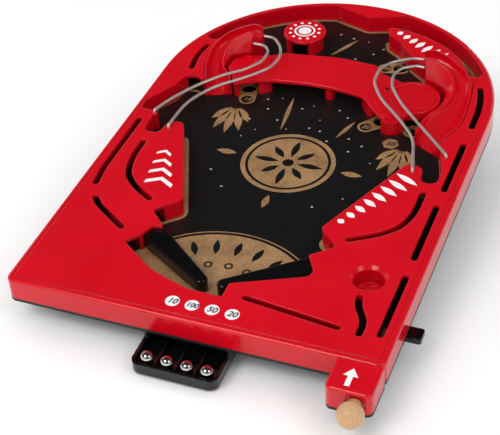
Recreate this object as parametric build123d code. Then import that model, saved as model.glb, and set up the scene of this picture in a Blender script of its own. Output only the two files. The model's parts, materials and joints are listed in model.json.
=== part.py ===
"""Tabletop pinball game: a red tray with an arched rear end, tilted on its legs.

Everything is drawn in the deck frame: X to the player's right, Y from the front edge towards the
arch, Z square to the deck, with Z = 0 on the deck's top face. stand() then tilts it onto its legs.
"""
import math
import os

from build123d import *

# Overall body
WIDTH = 350.0                # across the two straight sides
STRAIGHT = 354.0             # length of the straight sides, front edge to the arch's centre line
TILT = 7.0                   # slope of the playing surface
EDGE_ROUND = 3.0             # rounding of the outer top edge
CORNER_ROUND = 8.0           # front corners, seen from above
GROOVE_IN, GROOVE_W, GROOVE_D = 5.2, 0.8, 0.5   # fine line inside the front and side edges
TABLE_GAP = 2.3              # air under the ball tray's lip

# Layers, from the deck down
WELL = 19.0                  # depth of the playing surface under the deck
DECK = 3.5                   # deck thickness over the hidden ball lanes
BOARD = 3.0                  # printed hardboard
PANEL = 3.0                  # black panel that closes the bottom
RIM = 6.5                    # wall round the arched ball channel
WALL = 2.6                   # moulded walls under the deck
LEAST_ROOM = 100.0           # hollows of less area than this are filled
FIT = 0.3                    # air between parts that nest or slide
RUN = 0.05                   # radial air of a shaft in its hole

# Balls and their lanes
BALL = 12.7
LANE = 15.0                  # width of every ball lane
SLOT = 6.5                   # width of the sight slots over the lanes
HOLE = 15.6                  # scoring holes in the board
LOAD_HOLE = 27.2             # hole that a ball is dropped in at
LOAD_BEVEL = 3.0
LOAD_FLOOR = 2.5             # red floor left round the lane in the loading hole

# Plunger
ROD = 7.5
ROD_REACH = 52.0             # how far the rod stands behind the deck's front edge at rest
KNOB = 23.0
KNOB_NECK = 9.0
HOUSING_W = 40.5
HOUSING_L = 35.0
HOUSING_WALL = 5.0
HOUSING_ROUND = 6.0
DISH = 18.0                  # round recess in the housing's front, behind the knob
DISH_D = 2.5
SPRING_OD = 11.2
SPRING_WIRE = 1.1
SPRING_TURNS = 9
SPRING_BORE = 12.6
COLLAR_L = 4.0
CHAMBER = 18.0               # how far the spring's chamber reaches behind the deck's front edge

# Flippers
FLIP_X, FLIP_Y = 73.0, 101.0
FLIP_L = 75.5                # pivot to tip centre
FLIP_HUB = 11.0              # hub radius
FLIP_TIP = 6.0               # tip radius
FLIP_H = 13.5
FLIP_DROP = 34.5             # angle of a flipper at rest, below the line across the board
FLIP_SWING = 50.0
FLIP_SINK = 4.0              # top of a flipper under the deck
FLIP_ROUND = 2.5
SHAFT = 6.0
CRANK = 9.5                  # crank arm, shaft to pin
CRANK_T = 3.0
CRANK_HUB = 6.0
PIN = 4.0

# Side buttons: flat slides under the panel, with their finger pads outside
BUTTON_Y = 71.5
BUTTON_L = 15.0
BUTTON_H = 5.5
BUTTON_OUT = 12.5            # how far a pad stands out of the side
BUTTON_TOP = -27.0
BUTTON_IN = 25.0             # how far the pad's block reaches in from the side
BAR_W, BAR_T = 7.0, 3.0
GUIDE_WALL = 3.0
BSPRING_OD = 5.4
BSPRING_WIRE = 0.6
BSPRING_TURNS = 10
BSPRING_L = 19.0

# Ball tray and the trough behind it
TRAY_X = -1.5
TRAY_W = 80.0
TRAY_OUT = 34.0              # how far the tray stands out of the front
TRAY_IN = 36.0
TRAY_RIM = -30.5
TRAY_FLOOR = -38.4
TRAY_WALL = 3.0
TRAY_T = 2.4
TRAY_ROUND = 9.0
LANE_PITCH = 18.45
RIB = 1.6
TROUGH_T = 2.0

# Ramps, bridge and rails
RAIL = 3.0                   # rail wire diameter
PLATE = 4.0                  # bridge thickness
PLATEAU_T = 9.0
POST = 11.0                  # bridge post diameter
TRACK_WALL = 2.2
PLATEAU_X, PLATEAU_Y, PLATEAU_R = 92.0, 370.0, 28.0
POST_X, POST_Y = 3.2, 372.0
VENT_X, VENT_Y, VENT = 63.5, 377.0, 6.0      # small hole through the plate by the right landing

# Bumper
BUMPER_X, BUMPER_Y = -54.0, 456.0
BUMPER_CAP, BUMPER_WALL_R = 23.0, 20.0
BUMPER_MOUTH = 18.0
BUMPER_TOP = 1.5

# Legs
FOOT_X, FOOT_Y = 140.0, 36.0
LEG_X, LEG_Y = 118.0, 420.0
FOOT_D, LEG_D = 18.0, 22.0
LEG_FLANGE = 8.0             # how much wider a leg's flange is
PAD_T = 3.0

# Screws
SCREW, SCREW_HEAD, SCREW_HEAD_T, SCREW_L = 3.0, 6.4, 2.0, 13.0
SCREW_BOSS = 9.0             # solid spot round a screw
EAR, EAR_T = 10.0, 4.0       # screw ears of what hangs under the panel

RADIUS = WIDTH / 2
BACK = STRAIGHT + RADIUS     # rearmost point of the arch
SLOPE = math.radians(TILT)
FLOOR_Z = -WELL
BOARD_Z = FLOOR_Z - BOARD
BOTTOM_Z = BOARD_Z - PANEL
BALL_Z = FLOOR_Z + BALL / 2
LANE_TOP = -DECK
LANE_R = RADIUS - RIM - LANE / 2
PLUNGER_X = LANE_R
KNOB_Y = -HOUSING_L - KNOB / 2 - 0.5
CRANK_TOP = BUTTON_TOP - BAR_T - FIT
GUIDE_IN = RADIUS - BUTTON_IN - BSPRING_L - FIT      # where a button guide's room ends inside
GUIDE_LOW = BUTTON_Y - BUTTON_L / 2 - FIT
GUIDE_HIGH = BUTTON_Y + BUTTON_L / 2 + FIT
GUIDE_FLOOR = BUTTON_TOP - BUTTON_H - FIT

# Playing field at deck level, anticlockwise from its front left corner: x, y, corner radius
FIELD_EDGE = [
    (-94.5, 79, 3), (-55, 50.5, 60), (-15, 37.4, 30), (18, 37, 1.5), (18, 54.8, 3), (86, 86, 9),
    (71.5, 110.5, 1.5), (91.5, 128, 5), (69.5, 148.5, 7), (118, 264, 9), (134, 260.5, 8.8),
    (135.7, 239.2, 7.5), (152, 239.2, 7.5), (152, 258, 30), (138.9, 301.1, 1.5), (128, 330, 5),
    (138, 375, 5), (126, 408, 5), (97, 421, 3), (66, 446, 8), (52, 464, 20), (36, 475, 6),
    (31, 488, 3), (39, 490.5, 3), (60, 486.5, 60), (80, 480, 60), (100, 468.5, 60), (118, 453, 5),
    (160, 560, 5), (-190, 560, 5), (-172, 445, 5), (-146, 428, 4), (-128, 410, 5), (-126, 372, 5),
    (-119, 345, 4), (-127.2, 339.4, 2), (-135, 345, 6), (-146, 341, 5), (-150, 322, 20),
    (-168, 288, 12), (-168, 273.6, 7), (-152.8, 273.6, 6), (-150.5, 280, 0.9), (-149, 238.6, 8),
    (-132, 238.6, 8), (-131, 259.5, 9), (-115, 264, 8), (-66.5, 148.5, 8), (-88.5, 128, 5),
    (-68, 108, 1.5), (-78, 106.5, 4), (-84, 92, 6),
]
CUSP_EDGE = [(62, 560, 5), (-62, 560, 5), (-37, 517.4, 30), (3, 503.5, 6), (43, 516.9, 30)]
CAP_RIGHT, CAP_LEFT = 28.0, 155.0     # where the open ball channel ends, degrees round the arch

# Ball lanes under the deck: points of the centre line
FEED = [(130.9, 98), (130.7, 68.6), (134.3, 60), (140, 51.4), (143.6, 43), (143.6, 28.6), (159, 24)]
RETURN = [(16, 45.5), (36.4, 42.1), (125.7, 31.4), (144, 28.6)]
ARCH_EXIT = [(-145.9, 422), (-149, 400), (-149, 372), (-141, 350), (-133, 338)]
OUTLANE = [(-160.5, 286), (-160.5, 168), (-156, 143), (-143, 123), (-120, 105.5), (-92, 88)]
INLANE_LEFT = [(-140.7, 247), (-140.7, 196), (-134, 170), (-118, 154), (-86, 131)]
INLANE_RIGHT = [(143.9, 247), (144.3, 194), (138, 171), (122, 155), (89, 130)]
FEED_SLOT = [(130.7, 72.5), (132.8, 62), (141.5, 48), (143.6, 40), (143.6, 30)]
RETURN_SLOT = [(38, 42), (124, 31.6)]
EXIT_SLOT = [(-147.2, 402), (-150, 380), (-146.5, 357)]
OUTLANE_SLOT = [(-160.5, 256), (-160.5, 172), (-157.5, 149)]
DRAIN_SLOT = [(-147.6, 128.3), (-140, 119.5), (-105.4, 96.1)]
INLANE_LEFT_SLOT = [(-140.9, 222), (-140.7, 196), (-134, 170), (-118, 154), (-98, 141.7)]
INLANE_RIGHT_SLOT = [(144, 223), (144.3, 194), (138, 171), (122, 155), (98.6, 140.7)]
PLUNGER_SLOTS = [(30.7, 110.7), (130.7, 210.7), (230.7, 309.3)]
ARCH_SLOT_START, ARCH_SLOT_END = 337.0, 18.0         # its start along the side, its end in degrees

# Scoring holes in the board: the points printed beside each, and its place
SCORING = {"10": (-84.6, 363.4), "100": (57.5, 444), "20": (66, 346), "50": (101.9, 338.5)}

# Bridge plate, anticlockwise
BRIDGE_EDGE = [
    (-92.5, 341, 3), (-84.3, 346.5, 20), (-71.3, 354.2, 20), (-53.2, 360.1, 20), (-20, 364.3, 80),
    (10, 363.6, 80), (33, 360, 20), (42.8, 356.9, 8), (58.4, 339.4, 15), (71.4, 327.3, 5),
    (95.9, 338, 5), (96, 372, 2), (82, 390, 2), (66, 397, 6), (50, 403, 10), (40, 415.7, 4),
    (0, 419.2, 120), (-60, 411.4, 4), (-72, 403.5, 8), (-86, 399, 8), (-99, 396, 8),
    (-109.5, 384, 10), (-110, 369, 8), (-101.3, 359.5, 4), (-96.2, 349, 3),
]
LEG_20 = [(37, 370.5, 2), (42, 361.3, 4), (50.4, 349.8, 1.5), (57, 351.2, 1.5), (43, 374, 2)]
LEG_50 = [
    (70.1, 327.7, 3), (78, 325, 6), (87, 327.2, 6), (93, 334.5, 3), (90.5, 350, 3), (77, 352, 2)]
LEG_10 = [(-94.8, 346.5, 1), (-90, 345, 1), (-88.5, 351, 1), (-94.5, 352.5, 1)]
LEG_LEFT = [(-72, 357.5, 1.5), (-67, 356, 1.5), (-59, 364.5, 2), (-60, 371, 1.5), (-66, 371, 1.5)]

# Ramp stations: inner lip (x, y, z), outer lip (x, y, z), floor z, skirt out of the inner lip
RAMP_RIGHT = [
    ((109, 318.5, -4), (138.6, 302.5, 0), -18.4, 0.5),
    ((112.5, 341, -1), (149.3, 340, 0), -15, 0.5),
    ((118, 353.5, 0), (149.9, 350.5, 0), -12.6, 0.5),
    ((125.5, 364.5, 1), (149.6, 361, 0), -10, 0.6),
    ((128.5, 386, 4), (147, 390, 1), -5, 5.5),
    ((124, 400, 10), (140.5, 411.5, 6), 0, 9),
    ((114, 408, 16), (124, 424, 13), 5, 10),
    ((102, 411, 20), (104.5, 430, 19), 8, 9),
    ((94, 410, 20), (89, 425.5, 20), 9, 7),
]
RAMP_LEFT = [
    ((-98, 347.5, -3), (-123, 337, 0), -18.4, 0.5),
    ((-100.4, 352.8, -1.5), (-126.6, 345, 0), -16.8, 0.5),
    ((-103.4, 358, 0), (-129.6, 353, 0), -15, 0.5),
    ((-113.5, 368, 1), (-135.5, 370, 0), -10, 0.6),
    ((-118, 383, 5), (-138.5, 388, 1), -6, 4),
    ((-116, 396, 12), (-136.5, 402, 6), 0, 6),
    ((-109, 402, 17), (-124, 417, 13), 5, 7),
    ((-101, 406, 20), (-104, 426, 19), 8, 6),
    ((-94, 405, 20), (-88, 421, 20), 9, 5),
]
RAMP_AIR = 0.8               # between a ramp's outer wall and the deck
RAMP_STEPS = 24              # sections that each ramp is lofted through

# Rail wires: points of the centre line, from the ramp down to the deck
RAIL_LEFT_OUTER = [
    (-93.3, 404, 10.4), (-80, 403.6, 10.3), (-72.5, 394, 10), (-72.6, 376, 9.3), (-86, 356.8, 8.1),
    (-102.5, 345.2, 7.2), (-124.9, 319.4, 5.8), (-142, 289, 4.6), (-150.6, 270.5, 2.6),
    (-150.6, 270.5, -2.6)]
RAIL_LEFT_INNER = [
    (-87.6, 420.6, 10.4), (-76, 420.4, 10.3), (-64, 407, 10), (-57.6, 390, 9.4), (-60.5, 369, 8.4),
    (-77, 348.4, 7.4), (-106.2, 321.9, 6.2), (-123, 290, 5), (-126.3, 250.5, 2.6),
    (-126.3, 250.5, -2.6)]
RAIL_RIGHT_INNER = [
    (88.6, 424.4, 10.4), (76, 423, 10.3), (58, 411, 10), (49.2, 396, 9.4), (49.4, 374, 8.5),
    (64, 349, 7.4), (92.3, 321.5, 6), (114, 296, 5), (125.4, 252.4, 2.6), (125.4, 252.4, -2.6)]
RAIL_RIGHT_OUTER = [
    (93.1, 409.9, 10.4), (84, 411, 10.3), (70, 402.4, 10), (65.6, 388, 9.3), (70, 370, 8.4),
    (86, 347, 7.1), (110.7, 321.3, 5.8), (137.1, 294.5, 4.6), (150, 282.6, 2.6), (150, 282.6, -2.6)]
RAIL_SINK = 2.6              # how deep a rail's end sits in the deck
RAIL_BOSS = 7.0              # spot of deck that one rail's end stands on

# Screws of the panel: how far from the body's edge they bite, and the ones further in
SIDE_SCREW_IN, FRONT_SCREW_IN, HOUSING_SCREW_IN = 3.4, 12.0, 6.0
HOUSING_SCREW_Y = [9, 27]    # how far before the deck's front edge
LEFT_SCREW_Y = [150, 330]
RIGHT_SCREW_Y = [160, 320]
ARCH_SCREW_ANGLES = [48, 132]
INNER_SCREWS = [(0, 12), (118, 12), (-108, 200), (112, 200)]
TRAY_EAR_Y = 20.0
EAR_OUT = 3.5                # how far an ear's hole lies outside the tray's wall
TROUGH_EARS = [(-66, 46), (64, 46), (-83.5, 250), (95.3, 250), (60, 470), (-86, 382)]
TROUGH_EDGE = [
    (-62, 32, 2), (60, 32, 2), (60, 150, 30), (114, 322, 12), (114, 362, 12), (76, 466, 12),
    (44, 466, 12), (0, 380, 30), (-74, 378, 10), (-98, 378, 10), (-98, 342, 10), (-62, 160, 30)]
TROUGH_Z = -43.0


def level(shape, z):
    return Pos(0, 0, z) * shape


def prism(face, low, high):
    """Upright solid on a face drawn in the XY plane."""
    return level(extrude(face, high - low), low)


def disc(x, y, diameter):
    return Pos(x, y) * Circle(diameter / 2)


def rounded(corners):
    """Face inside a closed outline of (x, y, corner radius)."""
    points = [(x, y) for x, y, _ in corners]
    radii = [r for _, _, r in corners]
    return make_face(FilletPolyline(*points, radius=radii, close=True).edges())


def tube_route(points, share=0.42):
    """Straight runs joined by tangent arcs, each as large as its two runs allow."""
    vectors = [Vector(*p) for p in points]
    radii = []
    for before, here, after in zip(vectors, vectors[1:], vectors[2:]):
        turn = math.radians((here - before).get_angle(after - here))
        run = min((here - before).length, (after - here).length)
        radii.append(share * run / math.tan(turn / 2))
    return Wire(FilletPolyline(*points, radius=radii).edges())


def trail(points, width):
    """Face of constant width along a route, with round ends."""
    if len(points) == 2:
        route = Wire(Line(*points).edges())
    else:
        route = tube_route(points)
    return Sketch() + Face(route.offset_2d(width / 2))


def arch_trail(start, end, width):
    """Face of constant width along the arched channel, between two angles in degrees."""
    route = Wire(CenterArc((0, STRAIGHT), LANE_R, start, end - start).edges())
    return Sketch() + Face(route.offset_2d(width / 2))


def body_outline(inset=0.0):
    """The tray seen from above: straight sides, a half circle at the back, rounded front corners."""
    half = RADIUS - inset
    r = max(CORNER_ROUND - inset, 1.0)
    sides = FilletPolyline(
        (-half, STRAIGHT), (-half, inset), (half, inset), (half, STRAIGHT), radius=r)
    arch = ThreePointArc((half, STRAIGHT), (0, STRAIGHT + half), (-half, STRAIGHT))
    return make_face(sides.edges() + arch.edges())


def blend(values, share):
    """Point at a share of the way along the smooth curve through values, one step per value."""
    curve = Edge.make_spline([Vector(*v) for v in values], parameters=list(range(len(values))))
    return curve.position_at(share, position_mode=PositionMode.PARAMETER)


def smooth(stations):
    """The same ramp with its sections close together."""
    inner, outer, _, _ = zip(*stations)
    rest = [(k, floor, skirt) for k, (_, _, floor, skirt) in enumerate(stations)]
    sections = []
    for n in range(RAMP_STEPS + 1):
        lip_in, lip_out, other = (blend(v, n / RAMP_STEPS) for v in (inner, outer, rest))
        sections.append((tuple(lip_in), tuple(lip_out), other.Y, other.Z))
    return sections


def ramp_plan(stations, air):
    """Footprint of a ramp with air round its outer wall."""
    outer, inner = [], []
    for lip_in, lip_out, _, _ in smooth(stations):
        across = (Vector(*lip_out[:2]) - Vector(*lip_in[:2])).normalized()
        outer.append(Vector(*lip_out[:2]) + across * air)
        inner.append(Vector(*lip_in[:2]))
    edges = [
        Spline(*outer).edge(), Line(outer[-1], inner[-1]).edge(),
        Polyline(*reversed(inner)).edges(), Line(inner[0], outer[0]).edge()]
    flat = ShapeList()
    for item in edges:
        flat += item if isinstance(item, list) else [item]
    return make_face(flat)


def open_area(grow=0.0):
    """The playing field with its ball channel and the ramps' places, or that much wider."""
    inside = Pos(0, STRAIGHT) * Circle(RADIUS - RIM) + Pos(0, STRAIGHT / 2) * Rectangle(WIDTH, STRAIGHT)
    field = rounded(FIELD_EDGE) & inside
    cusp = rounded(CUSP_EDGE)
    if grow:
        field, cusp = offset(field, grow), offset(cusp, -grow)
    shape = field + arch_trail(CAP_RIGHT, CAP_LEFT, LANE + 2 * grow) - cusp
    for stations in (RAMP_RIGHT, RAMP_LEFT):
        shape += ramp_plan(stations, RAMP_AIR + grow)
    return shape


def opening():
    """Everything inside the deck's inner edge."""
    x, y, _ = RAIL_LEFT_OUTER[-1]
    return open_area() - disc(x, y, RAIL_BOSS)


def lanes(width):
    """Every hidden lane under the deck, in plan."""
    shape = trail([(PLUNGER_X, CHAMBER + width / 2), (PLUNGER_X, STRAIGHT + 1)], width)
    shape += arch_trail(0, CAP_RIGHT, width)
    for route in (FEED, RETURN, ARCH_EXIT, OUTLANE, INLANE_LEFT, INLANE_RIGHT):
        shape += trail(route, width)
    return shape


def slots():
    shape = Sketch()
    for low, high in PLUNGER_SLOTS:
        shape += trail([(PLUNGER_X, low + SLOT / 2), (PLUNGER_X, high - SLOT / 2)], SLOT)
    shape += trail([(PLUNGER_X, ARCH_SLOT_START), (PLUNGER_X, STRAIGHT + 1)], SLOT)
    shape += arch_trail(0, ARCH_SLOT_END, SLOT)
    for route in (FEED_SLOT, RETURN_SLOT, EXIT_SLOT, OUTLANE_SLOT, DRAIN_SLOT, INLANE_LEFT_SLOT,
                  INLANE_RIGHT_SLOT):
        shape += trail(route, SLOT)
    return shape


def hidden_pockets():
    """Hollows between the moulded walls under the deck."""
    walls = open_area(WALL) + lanes(LANE + 2 * WALL)
    walls += disc(*FEED[0], LOAD_HOLE + 2 * WALL)
    for side in (-1, 1):
        walls += disc(side * FLIP_X, FLIP_Y, 2 * (FLIP_HUB + 1 + WALL))
    for x, y in panel_places():
        walls += disc(x, y, SCREW_BOSS)
    rooms = (body_outline(RIM) - walls).faces()
    return Sketch() + [room for room in rooms if room.area > LEAST_ROOM]


def top_frame():
    plan = opening()
    body = prism(body_outline(), BOARD_Z, 0)
    body = fillet(body.faces().sort_by(Axis.Z)[-1].outer_wire().edges(), EDGE_ROUND)
    body -= prism(body_outline(RIM - 1), BOARD_Z, FLOOR_Z)
    body -= prism(plan, BOARD_Z, 0)
    body -= prism(hidden_pockets(), FLOOR_Z, LANE_TOP)
    body -= prism(lanes(LANE), FLOOR_Z, LANE_TOP)
    body -= prism(slots(), LANE_TOP - 1, 1)
    body -= prism(disc(*FEED[0], LOAD_HOLE), FLOOR_Z + LOAD_FLOOR, 1)
    body -= Pos(*FEED[0], -LOAD_BEVEL / 2) * Cone(
        LOAD_HOLE / 2, LOAD_HOLE / 2 + LOAD_BEVEL, LOAD_BEVEL)
    line = body_outline(GROOVE_IN) - body_outline(GROOVE_IN + GROOVE_W)
    line = line & (Pos(0, STRAIGHT / 2 - 10) * Rectangle(WIDTH, STRAIGHT - 20))
    body -= prism(line, -GROOVE_D, 1)
    for side in (-1, 1):
        body -= prism(disc(side * FLIP_X, FLIP_Y, 2 * (FLIP_HUB + 1)), BOARD_Z, LANE_TOP)
    body -= Pos(PLUNGER_X, CHAMBER / 2, BALL_Z) * Rot(90, 0, 0) * Cylinder(SPRING_BORE / 2, CHAMBER + 2)
    body -= screw_holes(BOARD_Z, BOTTOM_Z + SCREW_L + 0.5)
    for route in (RAIL_LEFT_OUTER, RAIL_LEFT_INNER, RAIL_RIGHT_INNER, RAIL_RIGHT_OUTER):
        x, y, _ = route[-1]
        body -= prism(disc(x, y, RAIL + 2 * FIT), -RAIL_SINK - FIT, 1)
    return body


def playfield_board():
    body = prism(body_outline(RIM - 1 + FIT), BOARD_Z, FLOOR_Z)
    for x, y in SCORING.values():
        body -= prism(disc(x, y, HOLE), BOARD_Z - 1, FLOOR_Z + 1)
    return body - shaft_holes(BOARD_Z - 1, FLOOR_Z + 1) - screw_holes(BOARD_Z - 1, FLOOR_Z + 1)


def shaft_holes(low, high):
    face = Sketch()
    for side in (-1, 1):
        face += disc(side * FLIP_X, FLIP_Y, SHAFT + 2 * RUN)
    return prism(face, low, high)


def screw_holes(low, high):
    face = Sketch()
    for x, y in panel_places():
        face += disc(x, y, SCREW + 2 * RUN)
    return prism(face, low, high)


def panel_places():
    """Where the panel is screwed to the tray and to the plunger housing."""
    edge = RADIUS - SIDE_SCREW_IN
    places = INNER_SCREWS + [(-RADIUS + 2 * FRONT_SCREW_IN, FRONT_SCREW_IN)]
    places += [(-edge, y) for y in LEFT_SCREW_Y] + [(edge, y) for y in RIGHT_SCREW_Y]
    for angle in map(math.radians, ARCH_SCREW_ANGLES):
        places.append((edge * math.cos(angle), STRAIGHT + edge * math.sin(angle)))
    places.append((0, BACK - FRONT_SCREW_IN))
    across = RADIUS - HOUSING_W + HOUSING_SCREW_IN
    return places + [(across, -y) for y in HOUSING_SCREW_Y]


def housing_outline(inset=0.0):
    right, left = RADIUS - inset, RADIUS - HOUSING_W + inset
    r = HOUSING_ROUND
    return rounded([(left, -HOUSING_L + inset, r), (right, -HOUSING_L + inset, r), (right, 0, 0),
                    (left, 0, 0)])


def base_panel():
    body = prism(body_outline(), BOTTOM_Z, BOARD_Z) + prism(housing_outline(), BOTTOM_Z, BOARD_Z)
    for x, y in SCORING.values():
        body -= prism(disc(x, y, HOLE + 2), BOTTOM_Z - 1, BOARD_Z + 1)
    for x, y in mount_places():
        body -= prism(disc(x, y, SCREW + 2 * RUN), BOTTOM_Z, BOARD_Z)
    return body - shaft_holes(BOTTOM_Z - 1, BOARD_Z + 1) - screw_holes(BOTTOM_Z - 1, BOARD_Z + 1)


def along_y(x, z, start, end, radius):
    """Round bar along Y."""
    return Pos(x, (start + end) / 2, z) * Rot(90, 0, 0) * Cylinder(radius, end - start)


def plunger_housing():
    body = prism(housing_outline(), BOARD_Z, 0)
    edges = body.edges().filter_by(lambda e: e.center().Z > -0.01 and e.center().Y < -0.01)
    body = fillet(edges, EDGE_ROUND)
    body -= along_y(PLUNGER_X, BALL_Z, -HOUSING_L + HOUSING_WALL, 1, SPRING_BORE / 2)
    body -= along_y(PLUNGER_X, BALL_Z, -HOUSING_L - 1, 0, ROD / 2 + RUN)
    body -= screw_holes(BOARD_Z, BOTTOM_Z + SCREW_L + 0.5)
    return body - along_y(PLUNGER_X, BALL_Z, -HOUSING_L - 1, -HOUSING_L + DISH_D, DISH / 2)


def plunger_rod():
    body = along_y(PLUNGER_X, BALL_Z, KNOB_Y, ROD_REACH, ROD / 2)
    return fillet(body.edges().sort_by(Axis.Y)[-1], 1)


def plunger_knob():
    ball = Pos(PLUNGER_X, KNOB_Y, BALL_Z) * Sphere(KNOB / 2)
    neck = along_y(PLUNGER_X, BALL_Z, KNOB_Y, -HOUSING_L + DISH_D - 1, KNOB_NECK / 2 + 1)
    return ball + neck - along_y(PLUNGER_X, BALL_Z, KNOB_Y, 0, ROD / 2)


def plunger_collar():
    end = CHAMBER - 0.5
    ring = along_y(PLUNGER_X, BALL_Z, end - COLLAR_L, end, SPRING_BORE / 2 - FIT)
    return ring - along_y(PLUNGER_X, BALL_Z, 0, CHAMBER, ROD / 2)


def coil(diameter, wire, turns, length):
    """Compression spring that stands on XY, as one unbroken tube, and its least gap to itself."""
    pitch = (length - wire) / turns
    print(f"spring gap between turns {pitch - wire:.2f} mm")
    path = Helix(pitch, length - wire, (diameter - wire) / 2)
    start = Plane(origin=path @ 0, z_dir=path % 0)
    return Pos(0, 0, wire / 2) * sweep(start * Circle(wire / 2), path)


def plunger_spring():
    start = -HOUSING_L + HOUSING_WALL + 0.2
    length = CHAMBER - 0.5 - COLLAR_L - 0.2 - start
    spring = coil(SPRING_OD, SPRING_WIRE, SPRING_TURNS, length)
    return Pos(PLUNGER_X, start, BALL_Z) * Rot(-90, 0, 0) * spring


def flipper(side):
    """Bat with its shaft; side is -1 on the left and 1 on the right."""
    angle = math.radians(-FLIP_DROP if side < 0 else 180 + FLIP_DROP)
    tip = (FLIP_L * math.cos(angle), FLIP_L * math.sin(angle))
    hub = Circle(FLIP_HUB)
    plan = make_hull((hub + Pos(*tip) * Circle(FLIP_TIP)).edges())
    bat = prism(plan, -FLIP_SINK - FLIP_H, -FLIP_SINK)
    bat = fillet(bat.faces().sort_by(Axis.Z)[-1].edges(), FLIP_ROUND)
    bat = chamfer(bat.faces().sort_by(Axis.Z)[0].edges(), 0.8)
    bat += prism(Circle(SHAFT / 2 + 2), FLOOR_Z + FIT, -FLIP_SINK - FLIP_H)
    bat += prism(Circle(SHAFT / 2), CRANK_TOP - CRANK_T, FLOOR_Z + FIT)
    return Pos(side * FLIP_X, FLIP_Y, 0) * bat


def crank_pin(side):
    """Pin's place at rest: the crank swings evenly about the line square to the slide."""
    angle = math.radians(270 + side * FLIP_SWING / 2)
    return side * FLIP_X + CRANK * math.cos(angle), FLIP_Y + CRANK * math.sin(angle)


def crank(side):
    """Arm pressed on the flipper's shaft under the slide's bar, with a pin through the bar."""
    x, y = crank_pin(side)
    shaft = (side * FLIP_X, FLIP_Y)
    arm = make_hull((disc(*shaft, 2 * CRANK_HUB) + disc(x, y, PIN + 3)).edges())
    body = prism(arm, CRANK_TOP - CRANK_T, CRANK_TOP)
    body += prism(disc(x, y, PIN), CRANK_TOP, BUTTON_TOP + 1)
    return body - prism(disc(*shaft, SHAFT), CRANK_TOP - CRANK_T, CRANK_TOP)


def button(side):
    """Finger pad, its block in the guide, and the bar that takes the crank's pin."""
    low, high = BUTTON_Y - BUTTON_L / 2, BUTTON_Y + BUTTON_L / 2
    pad = rounded([(RADIUS - BUTTON_IN, low, 2.5), (RADIUS + BUTTON_OUT, low, 2.5),
                   (RADIUS + BUTTON_OUT, high, 2.5), (RADIUS - BUTTON_IN, high, 2.5)])
    block = rounded([(RADIUS - BUTTON_IN, low, 0.5), (RADIUS - 3, low, 0.5),
                     (RADIUS - 3, high, 0.5), (RADIUS - BUTTON_IN, high, 0.5)])
    body = prism(pad, BUTTON_TOP - BUTTON_H, BUTTON_TOP)
    body = fillet(body.faces().sort_by(Axis.Z)[-1].outer_wire().edges(), 1)
    body += prism(block, BUTTON_TOP - BUTTON_H, BOTTOM_Z - FIT)
    pin_x, pin_y = crank_pin(1)
    reach = pin_y + PIN / 2 + FIT + 2.2
    inner = pin_x - PIN / 2 - FIT - 2.5
    outer = pin_x + PIN / 2 + FIT + 2.5
    bar = rounded([(inner, high - BAR_W, 2), (RADIUS - BUTTON_IN + 1, high - BAR_W, 0.5),
                   (RADIUS - BUTTON_IN + 1, high, 0.5), (outer, high, 2), (outer, reach, 2),
                   (inner, reach, 2)])
    sag = CRANK * (1 - math.cos(math.radians(FLIP_SWING / 2)))
    slot = trail([(pin_x, pin_y - sag - 0.5), (pin_x, pin_y + 0.5)], PIN + 2 * FIT)
    body += prism(bar - slot, BUTTON_TOP - BAR_T, BUTTON_TOP)
    return body if side > 0 else mirror(body, Plane.YZ)


def button_guide(side):
    """Tray under the panel that the button's block slides in, with a stop for its spring."""
    outer = RADIUS - 2
    shell = rounded([
        (GUIDE_IN - GUIDE_WALL, GUIDE_LOW - GUIDE_WALL, 1), (outer, GUIDE_LOW - GUIDE_WALL, 1),
        (outer, GUIDE_HIGH + GUIDE_WALL, 1), (GUIDE_IN - GUIDE_WALL, GUIDE_HIGH + GUIDE_WALL, 1)])
    body = prism(shell, GUIDE_FLOOR - 2, BOTTOM_Z)
    room = Pos((GUIDE_IN + outer + 5) / 2, (GUIDE_LOW + GUIDE_HIGH) / 2) * Rectangle(
        outer + 5 - GUIDE_IN, GUIDE_HIGH - GUIDE_LOW)
    body -= prism(room, GUIDE_FLOOR, BOTTOM_Z)
    gate = Pos(GUIDE_IN, GUIDE_HIGH - BAR_W / 2 - FIT) * Rectangle(20, BAR_W + 2 * FIT)
    body -= prism(gate, BUTTON_TOP - BAR_T - FIT, BOTTOM_Z)
    body = add_ears(body, guide_ears(1))
    return body if side > 0 else mirror(body, Plane.YZ)


def guide_ears(side):
    x = side * (GUIDE_IN + 12)
    return [(x, GUIDE_LOW - GUIDE_WALL - 3.7), (x, GUIDE_HIGH + GUIDE_WALL + 3.7)]


def add_ears(body, places):
    for x, y in places:
        body += prism(disc(x, y, EAR), BOTTOM_Z - EAR_T, BOTTOM_Z)
    for x, y in places:
        body -= prism(disc(x, y, SCREW + 2 * RUN), BOTTOM_Z - EAR_T, BOTTOM_Z)
    return body


def mount_places():
    """Where the parts under the panel are screwed to it."""
    return guide_ears(-1) + guide_ears(1) + tray_ears() + TROUGH_EARS


def mount_screws():
    top = BOTTOM_Z - EAR_T
    length = EAR_T + PANEL - FIT
    return Compound(children=[Pos(x, y, top) * screw(length) for x, y in mount_places()])


def screw(length):
    """Pan-head screw that points up, its head's seat at the origin."""
    head = level(extrude(Circle(SCREW_HEAD / 2), SCREW_HEAD_T), -SCREW_HEAD_T)
    head = fillet(head.edges().sort_by(Axis.Z)[0], 1)
    drive = prism(Rectangle(3.6, 0.8) + Rectangle(0.8, 3.6), -SCREW_HEAD_T - 1, -SCREW_HEAD_T + 0.9)
    return head - drive + extrude(Circle(SCREW / 2), length)


def panel_screws():
    return Compound(children=[Pos(x, y, BOTTOM_Z) * screw(SCREW_L) for x, y in panel_places()])


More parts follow.
